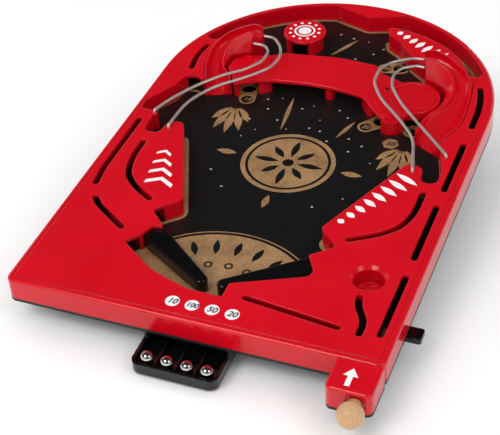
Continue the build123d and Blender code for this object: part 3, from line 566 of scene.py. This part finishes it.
def make_board_numbers():
    """The scores beside the holes: bare digits on dark discs, and dark ones on a bare hexagon."""
    for words, (x, y) in MARKS.items():
        material = "number_ink" if words == HEXAGON else "hardboard"
        number(f"score_{words}", words, x, y, MARK_SIZE[words], BOARD_TOP + PRINT, material)


BIG_DOT, SMALL_DOT = 1.2, 0.8
DOTS = [(-44, 356), (-36, 318), (-18, 344), (6, 330), (20, 352), (44, 308), (-52, 296), (50, 288),
        (-70, 222), (68, 216), (-50, 200), (44, 196), (8, 436), (22, 462), (-8, 486), (44, 478),
        (-34, 428), (-64, 312), (76, 276), (12, 312), (-24, 490), (10, 484), (-20, 440), (6, 448),
        (26, 434), (-58, 350), (-52, 334), (-8, 352), (32, 342), (0, 314), (-22, 306), (24, 298),
        (60, 300), (-62, 282), (30, 474), (-6, 438)]


def make_dots():
    """Small pale dots over the black field, in one mesh, with a small one after each two big ones."""
    loops = [ring_points(x, y, BIG_DOT if k % 3 else SMALL_DOT, 16) for k, (x, y) in enumerate(DOTS)]
    plate("board_dots", loops, BOARD_TOP + PRINT, "pale_ink")


# The print on the bare dome: how far in from its edge, in millimetres, and degrees between two figures
LINE_IN, LINE_WIDE = 2.9, 3.0
LINE_RIGHT, LINE_LEFT = 50, 130.5    # degrees where the line ends, under the walls
DOME_LEAF_IN, DOME_LEAF_STEP, DOME_LEAF_LONG, DOME_LEAF_WIDE = 22, 15, 20, 6.5
DOME_RING_IN, DOME_RING_STEP, DOME_RING_OUTER, DOME_RING_INNER = 46, 20, 4.2, 2.4


def make_dome_print():
    """Black line, leaves and rings on the bare dome."""
    line = band(dome(DOME_R - LINE_IN, LINE_LEFT, LINE_RIGHT), LINE_WIDE)
    plate("dome_line", [line], BOARD_TOP, "black_ink")
    figures = []
    for k in range(-3, 4):
        angle = 90 - DOME_LEAF_STEP * k
        x, y = on_dome(DOME_LEAF_IN, angle)
        figures.append(leaf(x, y, DOME_LEAF_LONG, DOME_LEAF_WIDE, angle))
    for k in range(-2, 3):
        x, y = on_dome(DOME_RING_IN, 90 - DOME_RING_STEP * k)
        figures += [ring_points(x, y, DOME_RING_OUTER, 28), ring_points(x, y, DOME_RING_INNER, 24)]
    plate("dome_figures", figures, BOARD_TOP, "black_ink")


def on_dome(inside, angle):
    """Point at a distance inside the dome's edge, at an angle in degrees."""
    a = math.radians(angle)
    reach = DOME_R - inside
    return reach * math.cos(a), DOME_Y + reach * math.sin(a)


# White prints on the deck
LABEL_Y, LABEL_R = 19.1, 6.4
LABELS = {"10": -20.4, "100": -2.0, "50": 16.5, "20": 35.0}
LABEL_SIZE, LONG_LABEL_SIZE = 8.8, 7.4       # of a number with two and with three digits
CHEVRONS = 4
CHEVRON_X, CHEVRON_Y, CHEVRON_LEFT, CHEVRON_UP = -99.0, 170.0, 4.6, 14.0     # the first, and the steps
CHEVRON_HALF, CHEVRON_RISE, CHEVRON_THICK = (14.0, 2.2), (8.0, 1.0), (5.2, 0.5)      # and what a step takes
LEAF_WIDE = 6.4
RIGHT_ROW = ((84, 163), (124, 239), 8, 2.7)  # first and last place, count and growth of the leaves
BACK_ROW = ((46, 482), (100, 449), 7, 2.4)
ROW_LEAF = 8                 # length of a row's first leaf
ARROW_X, ARROW_Y = 152.0, -19.0
ARROW_HALF, ARROW_STEM, ARROW_HEAD, ARROW_NECK = 10, 2.2, 6.5, 1


def make_labels():
    """White discs with the lanes' scores on the front of the deck."""
    for words, x in LABELS.items():
        plate(f"label_{words}", [ring_points(x, LABEL_Y, LABEL_R)], DECK_TOP, "white_ink")
        size = LABEL_SIZE if len(words) < 3 else LONG_LABEL_SIZE
        number(f"label_number_{words}", words, x, LABEL_Y, size, DECK_TOP + PRINT, "number_ink")


def make_chevrons():
    """White chevrons on the left island, growing towards the player."""
    loops = []
    for k in range(CHEVRONS):
        x, y = CHEVRON_X - CHEVRON_LEFT * k, CHEVRON_Y + CHEVRON_UP * k
        half, rise, thick = (full - less * k for full, less in (CHEVRON_HALF, CHEVRON_RISE, CHEVRON_THICK))
        loops.append([(x - half, y - rise), (x, y), (x + half, y - rise), (x + half, y - rise + thick),
                      (x, y + thick), (x - half, y - rise + thick)])
    plate("island_chevrons_left", loops, DECK_TOP, "white_ink")


def row_of_leaves(first, last, count, grow):
    """Leaves set across a line, each longer than the last."""
    loops = []
    start, end = Vector(first), Vector(last)
    angle = math.degrees(math.atan2((end - start).y, (end - start).x))
    for k in range(count):
        spot = start.lerp(end, k / (count - 1))
        loops.append(leaf(spot.x, spot.y, ROW_LEAF + grow * k, LEAF_WIDE, angle + 90))
    return loops


def arrow(x, y):
    """Plain arrow that points to the field."""
    neck = y + ARROW_NECK
    return [(x - ARROW_STEM, y - ARROW_HALF), (x + ARROW_STEM, y - ARROW_HALF), (x + ARROW_STEM, neck),
            (x + ARROW_HEAD, neck), (x, y + ARROW_HALF), (x - ARROW_HEAD, neck), (x - ARROW_STEM, neck)]


def make_deck_prints():
    make_labels()
    make_chevrons()
    plate("island_leaves_right", row_of_leaves(*RIGHT_ROW), DECK_TOP, "white_ink")
    plate("island_leaves_back", row_of_leaves(*BACK_ROW), DECK_TOP, "white_ink")
    plate("housing_arrow", [arrow(ARROW_X, ARROW_Y)], DECK_TOP, "white_ink")


CAP_X, CAP_Y = -54.0, 456.0
CAP_DISC_R, CAP_RING_OUTER, CAP_RING_INNER = 7.0, 11.5, 9.4
CAP_DOTS, CAP_DOTS_AT, CAP_DOT_R = 12, 16.0, 1.7


def make_cap_print():
    """White disc, ring and dots on the bumper cap."""
    ring = [ring_points(CAP_X, CAP_Y, radius, 64) for radius in (CAP_RING_OUTER, CAP_RING_INNER)]
    dots = [ring_points(*spot, CAP_DOT_R, 20) for spot in ring_points(CAP_X, CAP_Y, CAP_DOTS_AT, CAP_DOTS)]
    plate("cap_disc", [ring_points(CAP_X, CAP_Y, CAP_DISC_R)], CAP_TOP, "white_ink")
    plate("cap_ring", ring, CAP_TOP, "white_ink")
    plate("cap_dots", dots, CAP_TOP, "white_ink")


def make_prints():
    make_black_under_deck()
    make_board_print()
    make_dots()
    make_dome_print()
    make_board_numbers()
    make_deck_prints()
    make_cap_print()


# Small turned forms, as (radius, height) points about an upright line
LOAD_HOLE = (130.9, 98.0)
CUP_R, CUP_LOW, CUP_HIGH, CUP_FLOOR = 13.2, -18.6, -15.5, 0.3
CUP_STEPS = 8
LANDING = (92.0, 370.0)
LANDING_RIM = [(21.0, 0.0), (21.4, 0.7), (22.2, 1.1), (23.0, 0.7), (23.4, 0.0), (22.2, -0.2)]


def turned(name, profile, x, y, material, steps=72):
    """Closed body of revolution from its profile, with its axis at a point of the deck."""
    vertices, faces = [], []
    count = len(profile)
    for k in range(steps):
        angle = 2 * math.pi * k / steps
        vertices += [(x + r * math.cos(angle), y + r * math.sin(angle), z) for r, z in profile]
    for k in range(steps):
        here, there = k * count, (k + 1) % steps * count
        for n in range(count):
            after = (n + 1) % count
            faces.append((here + n, there + n, there + after, here + after))
    mesh = bpy.data.meshes.new(name)
    mesh.from_pydata(vertices, [], faces)
    for face in mesh.polygons:
        face.use_smooth = True
    piece(name, mesh, material)


def make_load_cup():
    """Dished floor in the loading hole, closed all round: it also covers the lane's opening there."""
    shares = [k / CUP_STEPS for k in range(1, CUP_STEPS + 1)]
    dish = [(CUP_R * share, CUP_LOW + (CUP_HIGH - CUP_LOW) * share ** 2) for share in shares]
    bottom = [(CUP_R, CUP_LOW - CUP_FLOOR), (CUP_R * shares[0], CUP_LOW - CUP_FLOOR)]
    turned("load_cup", dish + bottom, *LOAD_HOLE, "red_plastic")


def make_landing_rim():
    """Raised rim on the landing of the bridge."""
    turned("landing_rim", LANDING_RIM, *LANDING, "red_plastic")


def squeeze(node):
    """A copy of a spring that stands in for the carried-over part as a piece of the body."""
    coil = bpy.data.objects.new(node + "_coil", NODES[node].data.copy())
    link(coil)
    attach(coil, "body")
    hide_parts(node)
    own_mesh(coil)


def make_springs():
    squeeze("plunger_spring")
    squeeze("button_spring_left")
    squeeze("button_spring_right")


# Stage, in metres and watts
AMBIENT = 0.86               # the world's light on the part
COVE_LOW, COVE_HIGH = 0.05, 0.38     # heights on the unit sphere between which the cove darkens
OVERHEAD = 0.02
LAMPS = {                    # place, size and power
    "key": ((-0.6, -1.7, 1.9), (1.1, 0.9), 20),
    "fill": ((1.7, -0.8, 1.6), (0.9, 0.9), 6),
    "left": ((-2.6, 1.1, 1.9), (1.6, 1.0), 5),
}
LAMP_AIM = (0, 0, 0.05)
FLOOR_HALF = 6.0
CAMERA_PLACE = (396.65, -744.27, 804.35)         # in the deck frame, like its aim
CAMERA_AIM = (3.003, 143.274, 0.0)
CAMERA_ROLL = -0.873         # degrees
LENS, SENSOR = 99.075, 36.0  # millimetres
NEAR, FAR = 0.05, 50


def aim(obj, place, target, roll=Matrix.Identity(3)):
    """Puts a lamp or camera at a place and turns it to a target."""
    turn = (Vector(target) - Vector(place)).to_track_quat("-Z", "Y").to_matrix() @ roll
    obj.location = place
    obj.rotation_mode = "QUATERNION"
    obj.rotation_quaternion = turn.to_quaternion()


def make_lamps():
    for name, (place, size, power) in LAMPS.items():
        light = bpy.data.lights.new(name, "AREA")
        light.shape = "RECTANGLE"
        light.size, light.size_y = size
        light.energy = power
        obj = bpy.data.objects.new(name, light)
        link(obj)
        aim(obj, place, LAMP_AIM)


def calculate(tree, first, second, operation):
    """Sum or product of two values."""
    node = tree.nodes.new("ShaderNodeMath")
    node.operation = operation
    tree.links.new(first, node.inputs[0])
    tree.links.new(second, node.inputs[1])
    return node.outputs["Value"]


def make_world():
    """White to the camera, to reflections a white cove that darkens overhead, and grey to the rest."""
    world = bpy.data.worlds.new("studio")
    bpy.context.scene.world = world
    world.use_nodes = True
    tree = world.node_tree
    path = tree.nodes.new("ShaderNodeLightPath")
    place = tree.nodes.new("ShaderNodeTexCoord")
    split = tree.nodes.new("ShaderNodeSeparateXYZ")
    tree.links.new(place.outputs["Generated"], split.inputs["Vector"])
    cove = tree.nodes.new("ShaderNodeMapRange")
    cove.inputs["From Min"].default_value = COVE_LOW
    cove.inputs["From Max"].default_value = COVE_HIGH
    cove.inputs["To Min"].default_value = 1.0
    cove.inputs["To Max"].default_value = OVERHEAD
    tree.links.new(split.outputs["Z"], cove.inputs["Value"])
    mirrored = calculate(tree, path.outputs["Is Glossy Ray"], path.outputs["Is Transmission Ray"], "ADD")
    seen = calculate(tree, mirrored, cove.outputs["Result"], "MULTIPLY")
    seen = calculate(tree, seen, path.outputs["Is Camera Ray"], "ADD")
    rest = tree.nodes.new("ShaderNodeMapRange")
    rest.inputs["To Min"].default_value = AMBIENT
    rest.inputs["To Max"].default_value = 0.0
    either = calculate(tree, mirrored, path.outputs["Is Camera Ray"], "ADD")
    tree.links.new(either, rest.inputs["Value"])
    total = calculate(tree, seen, rest.outputs["Result"], "ADD")
    background = tree.nodes["Background"]
    background.inputs["Color"].default_value = (1, 1, 1, 1)
    tree.links.new(total, background.inputs["Strength"])


def make_floor():
    """Plain white floor that keeps the shadow."""
    mesh = bpy.data.meshes.new("floor")
    half = FLOOR_HALF
    mesh.from_pydata([(-half, -half, 0), (half, -half, 0), (half, half, 0), (-half, half, 0)], [],
                     [(0, 1, 2, 3)])
    floor = bpy.data.objects.new("floor", mesh)
    link(floor)
    material, tree, shader, place = new_material("floor", 0.9)
    tint(tree, shader, noise(tree, place, 3, 2), (0.93, 0.93, 0.93), (0.96, 0.96, 0.96))
    mesh.materials.append(material)


def make_camera():
    """The photograph's view: where the camera stood and how it was turned."""
    data = bpy.data.cameras.new("camera")
    data.sensor_width = SENSOR
    data.lens = LENS
    data.clip_start, data.clip_end = NEAR, FAR
    camera = bpy.data.objects.new("camera", data)
    link(camera)
    roll = Matrix.Rotation(math.radians(CAMERA_ROLL), 3, "Z")
    aim(camera, DECK @ Vector(CAMERA_PLACE), DECK @ Vector(CAMERA_AIM), roll)
    bpy.context.scene.camera = camera


dress_nodes()
make_prints()
make_load_cup()
make_landing_rim()
make_springs()
make_world()
make_floor()
make_lamps()
make_camera()
bpy.context.scene.view_settings.view_transform = "Standard"
